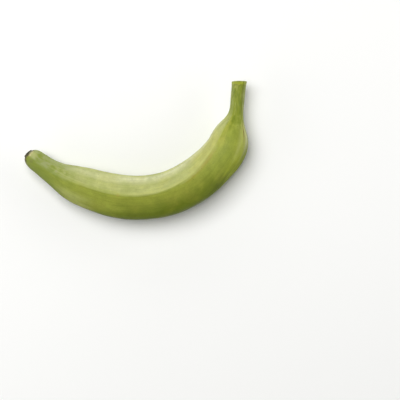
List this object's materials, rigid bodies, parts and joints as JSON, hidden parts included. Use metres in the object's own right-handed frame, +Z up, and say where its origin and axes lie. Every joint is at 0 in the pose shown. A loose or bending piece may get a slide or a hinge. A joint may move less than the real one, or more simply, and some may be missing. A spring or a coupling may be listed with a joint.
{
  "type": "plantain",
  "caption": "Curved green plantain with soft lengthwise ridges, a blunt dry blossom end and a cut stem, lying on its side.",
  "frame": {"origin": "under the middle of the fruit's box, on the surface that it lies on", "axes": "+Z up from that surface; +X from the blossom end towards the stem end; +Y towards the inside of the bend, where the stem points"},
  "size_m": [0.2352, 0.146, 0.0464],
  "materials": {
    "peel": "satin"
  },
  "bodies": {
    "root": {"plantain": "peel"}
  },
  "joints": []
}
